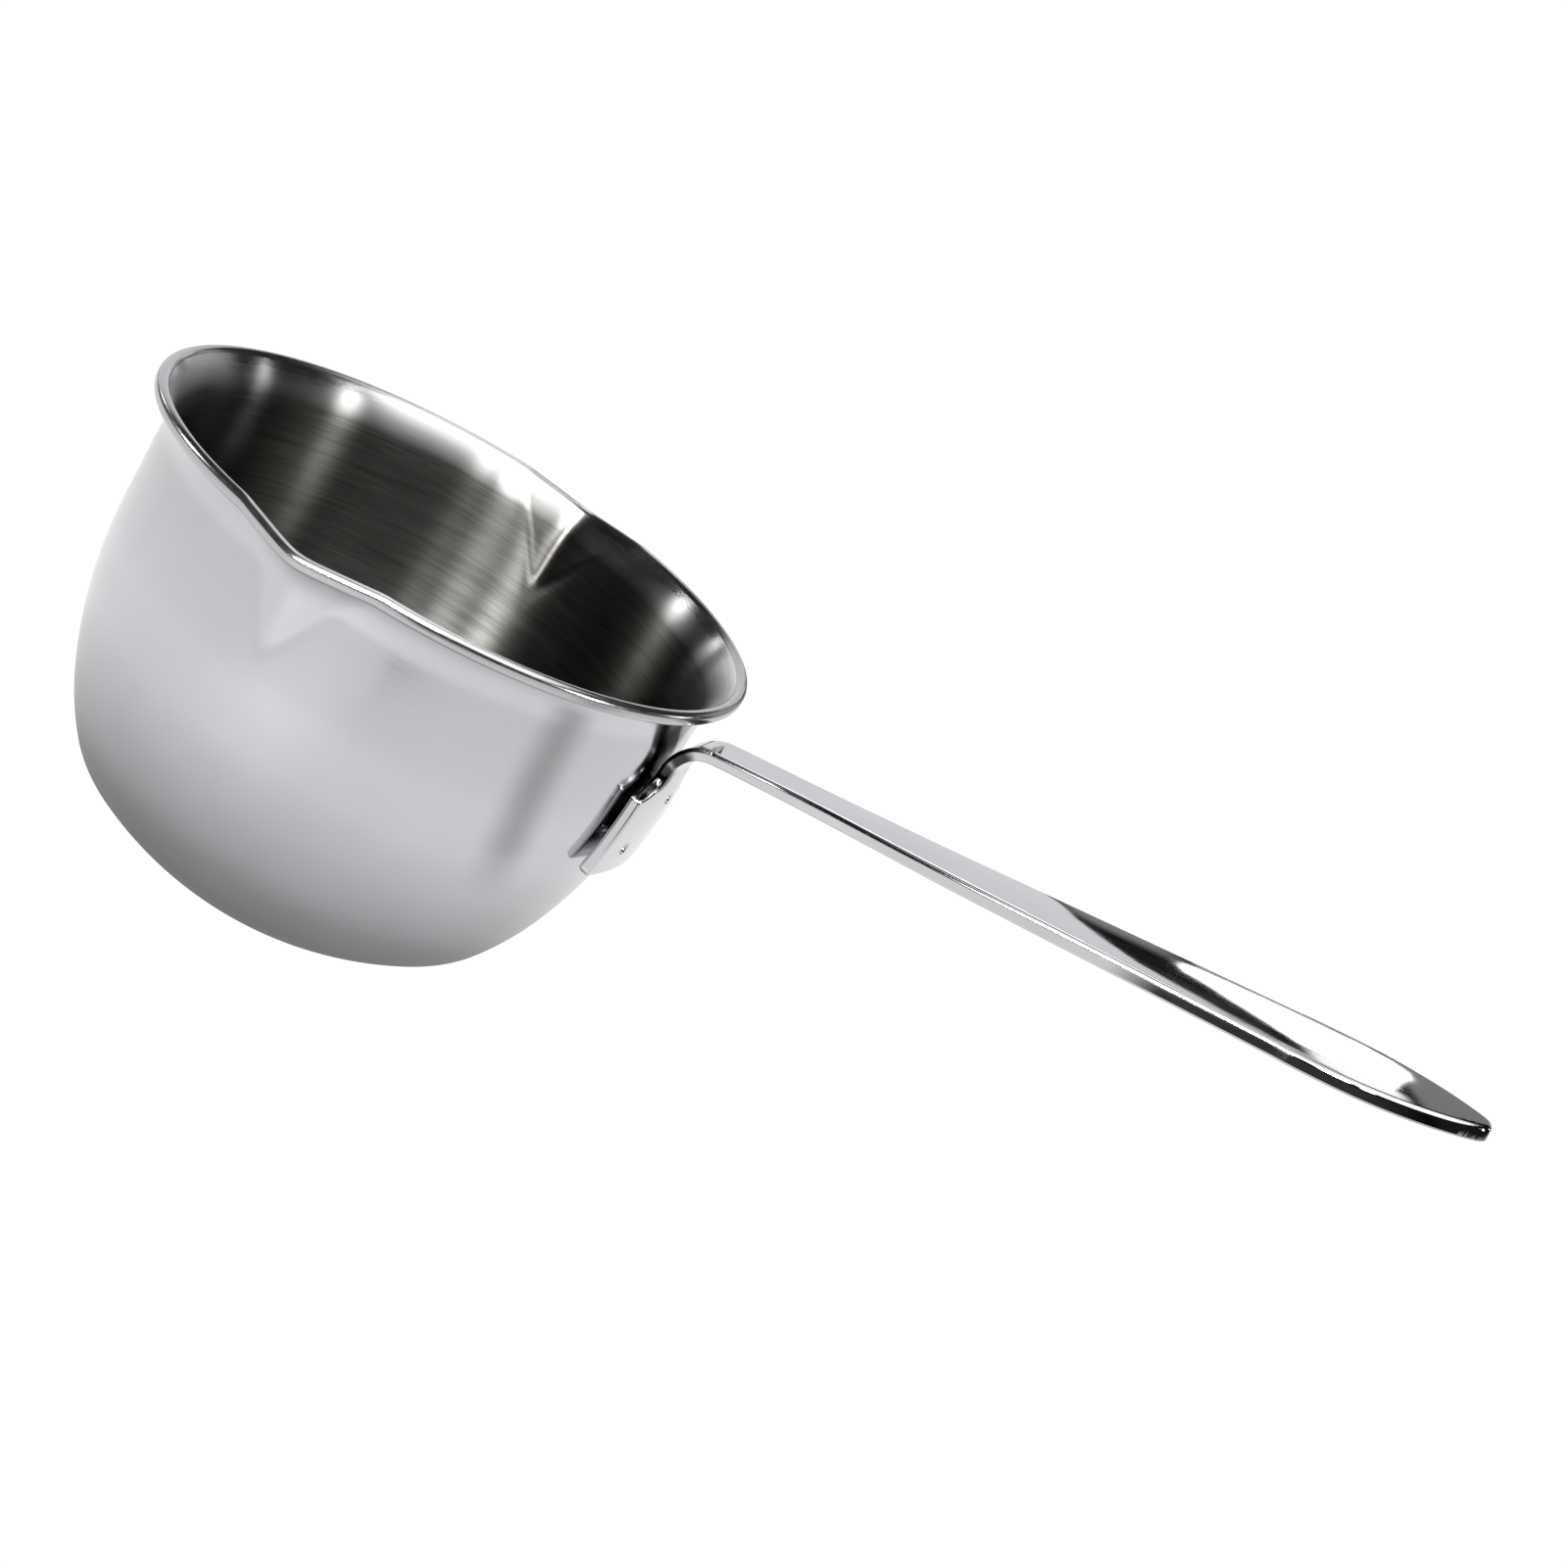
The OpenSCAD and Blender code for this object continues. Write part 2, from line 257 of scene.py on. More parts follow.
R_in = R4 + GAP
L1 = -math.asin((PLATE_Z - c4[1]) / R_in) * R_in
L2 = BEND_Z - c4[1]
LB = BEND_R * (pi / 2 - GRIP_SLOPE)
bend_end_x = PLATE_IN + BEND_R + BEND_R * cos(pi / 2 + GRIP_SLOPE)
S_SHOULDER = L1 + (SHOULDER_Z - c4[1])
S_JOIN = L1 + L2 + LB + (JOIN_X - bend_end_x) / cos(GRIP_SLOPE)
grip_len = (REACH - JOIN_X) / cos(GRIP_SLOPE)
side_drop = TIP_SIDE_R - GRIP_W
tip_c = grip_len - TIP_R
belly = tip_c - sqrt((TIP_SIDE_R - TIP_R) ** 2 - side_drop ** 2)
tip_touch = math.asin(side_drop / (TIP_SIDE_R - TIP_R))
neck_end, ease = 14.0, 14.0
slope_w = (GRIP_W - NECK_W) / (belly - neck_end)

half_outline = []          # (s, y) with y > 0, from the plate's bottom corner to the tip
rc = 0.9                   # small corner radii of the plate
half_outline += [(0.0, y) for y in (0.0, 3.0, 6.0, 9.0, PLATE_LOW_W - rc - 0.8)]
half_outline += [(rc + rc * sin(-pi / 2 + i * pi / 12), PLATE_LOW_W - rc + rc * cos(-pi / 2 + i * pi / 12)) for i in range(0, 7)]
for i in range(1, 9):
    t = i / 9
    half_outline.append((rc + (S_SHOULDER - 1.2 - rc) * t, PLATE_LOW_W + (PLATE_W - PLATE_LOW_W) * t))
rs = 1.0
half_outline += [(S_SHOULDER - rs + rs * sin(i * pi / 14), PLATE_W - rs + rs * cos(i * pi / 14)) for i in range(0, 7)]
sd = PLATE_W - NECK_W
sh = [(S_SHOULDER + sd * (1 - cos(rad(9 * i))) * 1.15, NECK_W + sd * (1 - sin(rad(9 * i)))) for i in range(0, 11)]
half_outline += [p for p in sh if p[1] < PLATE_W - rs - 0.15]
s0 = half_outline[-1][0]
n = 10
half_outline += [(s0 + (S_JOIN - s0) * i / n, NECK_W) for i in range(1, n + 1)]
half_outline += [(S_JOIN + 3.5, NECK_W)]
half_outline += [(S_JOIN + neck_end - ease / 2 + ease * i / 8, NECK_W + slope_w * ease * (i / 8) ** 2 / 2) for i in range(0, 9)]
u0 = neck_end + ease / 2
u1 = belly - ease / 2
half_outline += [(S_JOIN + u0 + (u1 - u0) * i / 40, NECK_W + slope_w * (u0 - neck_end) + slope_w * (u1 - u0) * i / 40) for i in range(1, 40)]
half_outline += [(S_JOIN + u1 + (ease / 2) * i / 8, GRIP_W - slope_w * (ease / 2) * (1 - i / 8) ** 2 / 2) for i in range(0, 9)]
half_outline += [(S_JOIN + belly + TIP_SIDE_R * cos(pi / 2 - (pi / 2 - tip_touch) * i / 30), TIP_SIDE_R * sin(pi / 2 - (pi / 2 - tip_touch) * i / 30) - side_drop) for i in range(1, 31)]
half_outline += [(S_JOIN + tip_c + TIP_R * cos(tip_touch * (1 - i / 10)), TIP_R * sin(tip_touch * (1 - i / 10))) for i in range(1, 11)]

clean = [half_outline[0]]
for p in half_outline[1:]:
    if math.hypot(p[0] - clean[-1][0], p[1] - clean[-1][1]) > 0.05:
        clean.append(p)
half_outline = clean
outline = half_outline + [(s, -y) for s, y in half_outline[-2:0:-1]]
K = len(outline)


def outline_normals():
    ns = []
    for i in range(K):
        a, b, c = outline[i - 1], outline[i], outline[(i + 1) % K]
        t1 = Vector((b[0] - a[0], b[1] - a[1])).normalized()
        t2 = Vector((c[0] - b[0], c[1] - b[1])).normalized()
        n1, n2 = Vector((t1.y, -t1.x)), Vector((t2.y, -t2.x))
        m = (n1 + n2)
        m = m / max(0.3, m.length_squared) * 2 if m.length > 1e-6 else n1
        m = (n1 + n2).normalized() / max(0.55, (n1 + n2).normalized().dot(n1))
        ns.append(m)
    return ns


ons = outline_normals()
# points outwards? test with the belly's normal
if ons[len(half_outline) // 2].y < 0:
    ons = [-m for m in ons]
E_TOP, E_LOW = 0.95, 0.50
loops = []                 # (inset, height) from the inner (upper) face round to the outer (lower) face
for i in range(0, 7):
    a = i / 6 * pi / 2
    loops.append((E_TOP * (1 - sin(a)), -E_TOP * (1 - cos(a))))
for i in range(0, 6):
    a = i / 5 * pi / 2
    loops.append((E_LOW * (1 - cos(a)), -STRIP + E_LOW * (1 - sin(a))))

bm = bmesh.new()
rings = []
for inset, h in loops:
    rings.append([bm.verts.new((outline[i][0] - ons[i].x * inset, outline[i][1] - ons[i].y * inset, h)) for i in range(K)])
for a, b in zip(rings[:-1], rings[1:]):
    for i in range(K):
        j = (i + 1) % K
        bm.faces.new((a[i], a[j], b[j], b[i]))
bm.faces.new(rings[0][::-1])
bm.faces.new(rings[-1])
bm.normal_update()


def cut(axis, at):
    no = (1, 0, 0) if axis == 0 else (0, 1, 0)
    co = (at, 0, 0) if axis == 0 else (0, at, 0)
    bmesh.ops.bisect_plane(bm, geom=bm.verts[:] + bm.edges[:] + bm.faces[:], plane_co=co, plane_no=no, dist=1e-5)


S_END = S_JOIN + grip_len
s = 1.5
while s < S_END - 1:
    cut(0, s)
    s += 0.45 if L1 + L2 - 1 < s < L1 + L2 + LB + 1 else (1.0 if s < S_JOIN + 6 else 2.0)
for i in range(0, 16):
    cut(1, i * 0.8)
    if i:
        cut(1, -i * 0.8)
DIMPLES = [(L1 - (c4[1] - 50.7), -4.5), (L1 + (61.0 - c4[1]), 3.6)]
DIM_R, DIM_H = 1.5, 0.85
for (ds, dy) in DIMPLES:
    for q in range(-7, 8):
        cut(0, ds + q * 0.27)
for (ds, dy) in DIMPLES:
    for q in range(-7, 8):
        cut(1, dy + q * 0.27)
bmesh.ops.remove_doubles(bm, verts=bm.verts[:], dist=1e-4)


def bend_map(s, y, h):
    """Flat blank (s, y, h) to the bent handle. h = 0 is the face towards the bowl, which becomes the grip's top."""
    x, z, ta = plate_pt(max(0.0, s))
    if s < 0:
        x, z = x + s * cos(ta), z + s * sin(ta)
    nx, nz = -sin(ta), cos(ta)             # towards the bowl / up
    X, Z = x + nx * h, z + nz * h
    # the plate wraps round the wall; the wrap fades out along the neck
    wrap = 1 - smooth01(L1 + L2 - 1.5, L1 + L2 + LB + 3, s)
    if wrap > 0:
        ang = y / X
        Xw, Yw = X * cos(ang), X * sin(ang)
        X, Y = X + (Xw - X) * wrap, y + (Yw - y) * wrap
    else:
        Y = y
    return X, Y, Z


def half_width(s):
    """Half of the strip's width at length s."""
    for (a, ya), (b, yb) in zip(half_outline[:-1], half_outline[1:]):
        if a <= s <= b and b > a:
            return ya + (yb - ya) * (s - a) / (b - a)
    return 0.0


def true_normal(s, y, h):
    """Exact normal of the strip's top, rounded edges and sides, past the neck; None on its underside."""
    if s < S_JOIN - 11.5 or s > S_END - TIP_R - 1.0 or h < -STRIP + 0.001:
        return None
    dw = (half_width(s + 0.4) - half_width(s - 0.4)) / 0.8
    out_s, out_y = -dw / sqrt(1 + dw * dw), (1 if y > 0 else -1) / sqrt(1 + dw * dw)
    if h > -0.001:
        up, out_ = 1.0, 0.0
    elif h > -E_TOP:
        up = min(1.0, (h + E_TOP) / E_TOP)
        out_ = sqrt(1 - up * up)
    elif h > -STRIP + E_LOW:
        up, out_ = 0.0, 1.0
    else:
        up = -min(1.0, (-STRIP + E_LOW - h) / E_LOW)
        out_ = sqrt(1 - up * up)
    g = smooth01(S_JOIN, S_JOIN + 50, s)
    w = NECK_W + (GRIP_W - NECK_W) * smooth01(S_JOIN + 14, S_JOIN + 110, s)
    crown = 0.64 * g * y / (w * w) * max(0.0, up)
    p0 = Vector(bend_map(s, 0.0, 0.0))
    ts = (Vector(bend_map(s + 0.05, 0.0, 0.0)) - Vector(bend_map(s - 0.05, 0.0, 0.0))).normalized()
    th = (Vector(bend_map(s, 0.0, 0.05)) - p0).normalized()
    return (ts * (out_s * out_) + Vector((0, 1, 0)) * (out_y * out_ + crown) + th * up).normalized()


widths, exact = {}, {}
bm.verts.index_update()
for v in bm.verts:
    s, y, h = v.co
    n_true = true_normal(s, y, h)
    if n_true is not None:
        exact[v.index] = n_true
    low = h < -STRIP + 0.02
    # pressed dimples on the plate's outer face
    if low:
        for ds, dy in DIMPLES:
            d = math.hypot(s - ds, y - dy)
            if d < DIM_R:
                h += DIM_H * (1 - smooth01(0.25, 1.0, d / DIM_R))
            elif d < DIM_R + 0.9:
                h -= 0.05 * sin(pi * (d - DIM_R) / 0.9)
    key = round(s, 3)
    if key not in widths:
        widths[key] = half_width(s)
    wide = widths[key]
    # a low crown along the middle of the grip's upper face, fading at the neck
    g = smooth01(S_JOIN, S_JOIN + 50, s)
    w = NECK_W + (GRIP_W - NECK_W) * smooth01(S_JOIN + 14, S_JOIN + 110, s)
    if h > -E_TOP - 0.01:
        h -= 0.32 * g * min(1.3, (y / w) ** 2)
    elif s > S_JOIN:
        # the sides deepen past the neck
        deep = (GRIP_T - STRIP) * min(1.0, (s - S_JOIN) / SWELL)
        h -= deep * min(1.0, max(0.0, (-h - E_TOP) / (STRIP - E_TOP - E_LOW)))
    # shallow hollow under the grip, inside the turned-down edges
    if low and s > S_JOIN + 6:
        rim = smooth01(EDGE_W - 0.5, EDGE_W + 0.7, wide - abs(y))
        run = smooth01(S_JOIN + 6.5, S_JOIN + 9.5, s) * (1 - smooth01(S_END - TIP_R - 2.2, S_END - TIP_R - 0.3, s))
        h += (HOLLOW_D + 0.05) * rim * run
    v.co = bend_map(s, y, h)
bmesh.ops.recalc_face_normals(bm, faces=bm.faces)
bmesh.ops.scale(bm, vec=(MM, MM, MM), verts=bm.verts)
me = bpy.data.meshes.new("handle_strip")
bm.to_mesh(me)
bm.free()
for p in me.polygons:
    p.use_smooth = True
strip = link(bpy.data.objects.new("handle_strip", me))
wn = strip.modifiers.new("weighted", "WEIGHTED_NORMAL")
wn.keep_sharp = False
wn.weight = 60
smoothed = strip.evaluated_get(bpy.context.evaluated_depsgraph_get()).to_mesh()
corner = [exact.get(l.vertex_index, n_.vector.copy()) for l, n_ in zip(smoothed.loops, smoothed.corner_normals)]
strip.modifiers.remove(wn)
me.normals_split_custom_set([tuple(n_) for n_ in corner])

# ---------------------------------------------------------------- weld nuggets: flattened, slightly barrelled discs in the gap
def wall_at(z):
    return WALL_R if z > c4[1] else c4[0] + sqrt(R4 * R4 - (z - c4[1]) ** 2)


nv, nf = [], []
for (y0, z0) in ((-4.5, 50.7), (3.6, 61.0)):
    r0 = wall_at(z0)
    ang = math.asin(y0 / r0)
    base = len(nv)
    prof = [(0.0, -0.02), (0.9, -0.02), (1.42, -0.02), (1.36, 0.12), (1.30, 0.35), (1.28, 0.5), (1.30, 0.65), (1.36, 0.88), (1.42, 1.02), (0.9, 1.02), (0.0, 1.02)]
    M = 40
    for pr, px in prof:
        for m in range(M):
            t = 2 * pi * m / M
            wob = 1 + 0.03 * sin(3 * t + 1) + 0.02 * sin(7 * t)
            yy, zz = pr * wob * cos(t), z0 + pr * wob * sin(t)
            rr = wall_at(zz) + min(max(px, 0.0), 1.0) * GAP
            a = ang + yy / rr
            nv.append((rr * cos(a), rr * sin(a), zz))
    P_ = len(prof)
    for i in range(P_ - 1):
        for m in range(M):
            k = (m + 1) % M
            nf.append((base + i * M + m, base + i * M + k, base + (i + 1) * M + k, base + (i + 1) * M + m))
nuggets = mesh_object("weld_spots", nv, nf)
bm = bmesh.new()
bm.from_mesh(nuggets.data)
bmesh.ops.remove_doubles(bm, verts=bm.verts[:], dist=1e-6)
bmesh.ops.dissolve_degenerate(bm, edges=bm.edges[:], dist=1e-7)
bmesh.ops.recalc_face_normals(bm, faces=bm.faces)
bm.to_mesh(nuggets.data)
bm.free()
for p in nuggets.data.polygons:
    p.use_smooth = True


# ---------------------------------------------------------------- materials
def new_mat(name):
    m = bpy.data.materials.new(name)
    m.use_nodes = True
    nt = m.node_tree
    for n_ in list(nt.nodes):
        nt.nodes.remove(n_)
    out = nt.nodes.new("ShaderNodeOutputMaterial")
    bs = nt.nodes.new("ShaderNodeBsdfPrincipled")
    nt.links.new(bs.outputs[0], out.inputs[0])
    bs.inputs["Metallic"].default_value = 1.0
    return m, nt, bs


def math_node(nt, op, a, b=None, c=None):
    n_ = nt.nodes.new("ShaderNodeMath")
    n_.operation = op
    for i, v in enumerate((a, b, c)):
        if v is None:
            continue
        if hasattr(v, "is_linked") or hasattr(v, "links"):
            nt.links.new(v, n_.inputs[i])
        else:
            n_.inputs[i].default_value = v
    return n_.outputs[0]


def ramp(nt, fac, stops, interp="LINEAR"):
    n_ = nt.nodes.new("ShaderNodeValToRGB")
    n_.color_ramp.interpolation = interp
    els = n_.color_ramp.elements
    while len(els) > 1:
        els.remove(els[-1])
    els[0].position, els[0].color = stops[0][0], stops[0][1]
    for pos, col in stops[1:]:
        e_ = els.new(pos)
        e_.color = col
    nt.links.new(fac, n_.inputs[0])
    return n_.outputs[0]


def g3(v, a=1.0):
    return (v, v, v, a)


def around(nt, scale_a, scale_r, scale_z):
    """Seamless coordinates that wrap round the pot's axis: scale_a per radian round it, and scale_r, scale_z per metre across."""
    tc = nt.nodes.new("ShaderNodeTexCoord")
    sx = nt.nodes.new("ShaderNodeSeparateXYZ")
    nt.links.new(tc.outputs["Object"], sx.inputs[0])
    xx = math_node(nt, "MULTIPLY", sx.outputs[0], sx.outputs[0])
    yy = math_node(nt, "MULTIPLY", sx.outputs[1], sx.outputs[1])
    rr = math_node(nt, "SQRT", math_node(nt, "ADD", math_node(nt, "ADD", xx, yy), 1e-9))
    cb = nt.nodes.new("ShaderNodeCombineXYZ")
    nt.links.new(math_node(nt, "MULTIPLY", math_node(nt, "DIVIDE", sx.outputs[0], rr), scale_a), cb.inputs[0])
    nt.links.new(math_node(nt, "MULTIPLY", math_node(nt, "DIVIDE", sx.outputs[1], rr), scale_a), cb.inputs[1])
    nt.links.new(math_node(nt, "ADD", math_node(nt, "MULTIPLY", rr, scale_r), math_node(nt, "MULTIPLY", sx.outputs[2], scale_z)), cb.inputs[2])
    return cb.outputs[0], sx


def noise(nt, vec, scale, detail=3.0, rough=0.5):
    n_ = nt.nodes.new("ShaderNodeTexNoise")
    n_.inputs["Scale"].default_value = scale
    n_.inputs["Detail"].default_value = detail
    n_.inputs["Roughness"].default_value = rough
    nt.links.new(vec, n_.inputs["Vector"])
    return n_.outputs[0]


def bump(nt, height, strength, dist):
    b = nt.nodes.new("ShaderNodeBump")
    b.inputs["Strength"].default_value = strength
    b.inputs["Distance"].default_value = dist
    nt.links.new(height, b.inputs["Height"])
    return b.outputs[0]


def mix_col(nt, fac, a, b):
    m = nt.nodes.new("ShaderNodeMix")
    m.data_type = "RGBA"
    nt.links.new(fac, m.inputs[0])
    m.inputs[6].default_value = a
    m.inputs[7].default_value = b
    return m.outputs[2]


def remap(nt, v, a, b, lo_, hi_):
    n_ = nt.nodes.new("ShaderNodeMapRange")
    n_.inputs[1].default_value, n_.inputs[2].default_value = a, b
    n_.inputs[3].default_value, n_.inputs[4].default_value = lo_, hi_
    nt.links.new(v, n_.inputs[0])
    return n_.outputs[0]


def tangent_z(nt, bs):
    tg = nt.nodes.new("ShaderNodeTangent")
    tg.direction_type = "RADIAL"
    tg.axis = "Z"
    nt.links.new(tg.outputs[0], bs.inputs["Tangent"])


# outside: satin steel, finely turned round the axis, so that lights draw out up and down the wall
def outside_steel():
    m, nt, bs = new_mat("steel_outside_satin")
    vec, sx = around(nt, 5.0, 1200.0, 1700.0)
    lines = noise(nt, vec, 1.0, 4.0, 0.65)
    vec2, _ = around(nt, 2.2, 40.0, 25.0)
    cloud = noise(nt, vec2, 1.0, 3.0, 0.5)
    tc = nt.nodes.new("ShaderNodeTexCoord")
    fine = noise(nt, tc.outputs["Object"], 2600.0, 2.0, 0.6)
    nt.links.new(mix_col(nt, remap(nt, cloud, 0.3, 0.7, 0, 1), OUT_A, OUT_B), bs.inputs["Base Color"])
    r1 = remap(nt, lines, 0.2, 0.8, 0.12, 0.16)
    r2 = remap(nt, cloud, 0.3, 0.7, -0.02, 0.02)
    nt.links.new(math_node(nt, "ADD", r1, r2), bs.inputs["Roughness"])
    bs.inputs["Anisotropic"].default_value = 0.6
    bs.inputs["Anisotropic Rotation"].default_value = 0.25
    tangent_z(nt, bs)
    h = math_node(nt, "ADD", math_node(nt, "MULTIPLY", lines, 0.7), math_node(nt, "MULTIPLY", fine, 0.3))
    nt.links.new(bump(nt, h, 0.012, 0.0002), bs.inputs["Normal"])
    # painted shade: the wall beside the neck is darkened where it mirrors the dark neck
    painted_neck_shade(nt, bs, ((58.0, -5.0, 67.0, 5.5), (60.0, -4.0, 74.0, 7.0)))
    return m


OUT_A, OUT_B = (0.585, 0.58, 0.605, 1), (0.62, 0.615, 0.645, 1)


def painted_neck_shade(nt, bs, shade_spots):
    """Painted shade: darkens the steel to brown-black near each (x, y, z, radius) in mm round the weld and the neck,
    standing in for the dark mirrored neck and the shade there.
    """
    tc = nt.nodes.new("ShaderNodeTexCoord")
    broken = noise(nt, tc.outputs["Object"], 420.0, 4.0, 0.6)
    total = None
    for x, y, z, r in shade_spots:
        ds = nt.nodes.new("ShaderNodeVectorMath")
        ds.operation = "DISTANCE"
        nt.links.new(tc.outputs["Object"], ds.inputs[0])
        ds.inputs[1].default_value = (x * MM, y * MM, z * MM)
        near = nt.nodes.new("ShaderNodeMapRange")
        near.interpolation_type = "SMOOTHSTEP"
        nt.links.new(math_node(nt, "ADD", ds.outputs["Value"], math_node(nt, "MULTIPLY", math_node(nt, "SUBTRACT", broken, 0.5), r * MM * 0.5)), near.inputs[0])
        near.inputs[1].default_value, near.inputs[2].default_value = r * MM * 1.15, r * MM * 0.6
        near.inputs[3].default_value, near.inputs[4].default_value = 0.0, 0.95
        total = near.outputs[0] if total is None else math_node(nt, "MAXIMUM", total, near.outputs[0])
    clean = bs.inputs["Base Color"].links[0].from_socket
    over = nt.nodes.new("ShaderNodeMix")
    over.data_type = "RGBA"
    nt.links.new(total, over.inputs[0])
    nt.links.new(clean, over.inputs[6])
    over.inputs[7].default_value = (0.022, 0.020, 0.019, 1)
    nt.links.new(over.outputs[2], bs.inputs["Base Color"])


def inside_steel():
    m, nt, bs = new_mat("steel_inside_brushed")
    vec, sx = around(nt, 4.0, 1500.0, 1900.0)
    lines = noise(nt, vec, 1.0, 5.0, 0.75)
    vec2, _ = around(nt, 1.5, 380.0, 420.0)
    broad = noise(nt, vec2, 1.0, 3.0, 0.6)
    both = math_node(nt, "ADD", math_node(nt, "MULTIPLY", lines, 0.65), math_node(nt, "MULTIPLY", broad, 0.35))
    # the brushed lines vary the tone at random; on top of that light and shade are painted in: the wall below is
    # darkened as painted shade, the flared band towards the lip lightened as a painted highlight
    low = mix_col(nt, remap(nt, both, 0.30, 0.70, 0, 1), (0.070, 0.068, 0.063, 1), (0.165, 0.162, 0.153, 1))
    high = mix_col(nt, remap(nt, both, 0.30, 0.70, 0, 1), (0.68, 0.675, 0.67, 1), (0.84, 0.835, 0.83, 1))
    rise = nt.nodes.new("ShaderNodeMix")
    rise.data_type = "RGBA"
    nt.links.new(remap(nt, sx.outputs[2], 75.5 * MM, 82.0 * MM, 0.0, 1.0), rise.inputs[0])
    nt.links.new(low, rise.inputs[6])
    nt.links.new(high, rise.inputs[7])
    nt.links.new(rise.outputs[2], bs.inputs["Base Color"])
    # the flared band below the rim is rubbed smoother than the wall
    rubbed = remap(nt, sx.outputs[2], 78.5 * MM, 82.5 * MM, 0.0, -0.15)
    nt.links.new(math_node(nt, "ADD", remap(nt, both, 0.25, 0.75, 0.33, 0.39), rubbed), bs.inputs["Roughness"])
    bs.inputs["Anisotropic"].default_value = 1.0
    bs.inputs["Anisotropic Rotation"].default_value = 0.25
    tangent_z(nt, bs)
    nt.links.new(bump(nt, both, 0.05, 0.0002), bs.inputs["Normal"])
    return m


def polished_steel(name, base, rough, wear=0.05, shade_spots=()):
    m, nt, bs = new_mat(name)
    tc = nt.nodes.new("ShaderNodeTexCoord")
    mp = nt.nodes.new("ShaderNodeMapping")
    mp.inputs["Scale"].default_value = (60.0, 900.0, 900.0)
    nt.links.new(tc.outputs["Object"], mp.inputs[0])
    scr = noise(nt, mp.outputs[0], 1.0, 4.0, 0.7)
    smear = noise(nt, tc.outputs["Object"], 60.0, 3.0, 0.55)
    wave = noise(nt, tc.outputs["Object"], 22.0, 1.5, 0.4)
    nt.links.new(mix_col(nt, remap(nt, smear, 0.3, 0.7, 0, 1), base, tuple(min(1, c * 1.05) for c in base[:3]) + (1,)), bs.inputs["Base Color"])
    r = math_node(nt, "ADD", remap(nt, scr, 0.45, 0.75, rough, rough + wear), remap(nt, smear, 0.35, 0.7, 0.0, wear * 0.6))
    nt.links.new(r, bs.inputs["Roughness"])
    h = math_node(nt, "ADD", math_node(nt, "MULTIPLY", scr, 0.06), math_node(nt, "MULTIPLY", wave, 1.0))
    nt.links.new(bump(nt, h, 0.08, 0.0004), bs.inputs["Normal"])
    # painted shade near the given spots round the neck
    if shade_spots:
        painted_neck_shade(nt, bs, shade_spots)
    return m


def weld_steel():
    m, nt, bs = new_mat("steel_weld")
    tc = nt.nodes.new("ShaderNodeTexCoord")
    cl = noise(nt, tc.outputs["Object"], 900.0, 4.0, 0.65)
    nt.links.new(ramp(nt, cl, [(0.3, (0.20, 0.17, 0.15, 1)), (0.55, (0.42, 0.40, 0.38, 1)), (0.75, (0.36, 0.36, 0.44, 1))]), bs.inputs["Base Color"])
    nt.links.new(remap(nt, cl, 0.3, 0.7, 0.35, 0.6), bs.inputs["Roughness"])
    nt.links.new(bump(nt, cl, 0.4, 0.0002), bs.inputs["Normal"])
    return m


m_out, m_in = outside_steel(), inside_steel()
m_rim = polished_steel("steel_rim_polished", (0.52, 0.52, 0.53, 1), 0.18, 0.06)
# the handle gets painted shade on its neck beside the weld, where the neck side mirrors dark surroundings
m_handle = polished_steel("steel_handle_polished", (0.64, 0.64, 0.655, 1), 0.03, 0.03, ((59.5, -6.5, 67.0, 3.6), (61.0, -7.5, 71.5, 3.6)))
m_weld = weld_steel()
for m in (m_out, m_rim, m_in):
    bowl.data.materials.append(m)
for p in bowl.data.polygons:
    if p.index >= 2 * NA:
        i = (p.index - 2 * NA) // NA
        p.material_index = 0 if i < n_out - 1 else 1 if i < n_rim else 2
    else:
        p.material_index = 0 if p.index % 2 == 0 else 2
strip.data.materials.append(m_handle)
nuggets.data.materials.append(m_weld)

for o, node, slot in ((bowl, "pot_bowl", "bowl_steel"), (strip, "handle", "handle_steel"), (nuggets, "weld_nuggets", "weld_steel")):
    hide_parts(node)
    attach(o, "root")


# ---------------------------------------------------------------- stage
def stage_mesh(name, verts_m, faces_, mat, camera=True, glossy=True, diffuse=True, shadow=True):
    me_ = bpy.data.meshes.new(name)
    me_.from_pydata(verts_m, [], faces_)
    o = link(bpy.data.objects.new(name, me_))
    o.data.materials.append(mat)
    for p in me_.polygons:
        p.use_smooth = True
    o.visible_camera, o.visible_glossy, o.visible_diffuse, o.visible_shadow = camera, glossy, diffuse, shadow
    return o


def emit_mat(name, strength, colour=(1, 1, 1, 1)):
    m = bpy.data.materials.new(name)
    m.use_nodes = True
    nt = m.node_tree
    for n_ in list(nt.nodes):
        nt.nodes.remove(n_)
    out = nt.nodes.new("ShaderNodeOutputMaterial")
    em = nt.nodes.new("ShaderNodeEmission")
    em.inputs[0].default_value = colour
    em.inputs[1].default_value = strength
    nt.links.new(em.outputs[0], out.inputs[0])
    return m


# pale floor and surround: what the camera sees behind the pot
floor_mat = emit_mat("floor_pale", 1.0)
floor_mat.node_tree.nodes["Emission"].inputs[1].default_value = 1.05
floor = stage_mesh("floor", [(-3, -3, -0.0003), (3, -3, -0.0003), (3, 3, -0.0003), (-3, 3, -0.0003)], [(0, 1, 2, 3)], floor_mat, glossy=False, diffuse=False, shadow=False)
seg = 48
sv, sf = [], []
for i in range(seg):
    a = 2 * pi * i / seg
    sv += [(2.9 * cos(a), 2.9 * sin(a), -0.02), (2.9 * cos(a), 2.9 * sin(a), 4.0)]
for i in range(seg):
    j = (i + 1) % seg
    sf.append((2 * i, 2 * j, 2 * j + 1, 2 * i + 1))
stage_mesh("backdrop", sv, sf, emit_mat("backdrop_white", 1.05), glossy=False, diffuse=False, shadow=False)


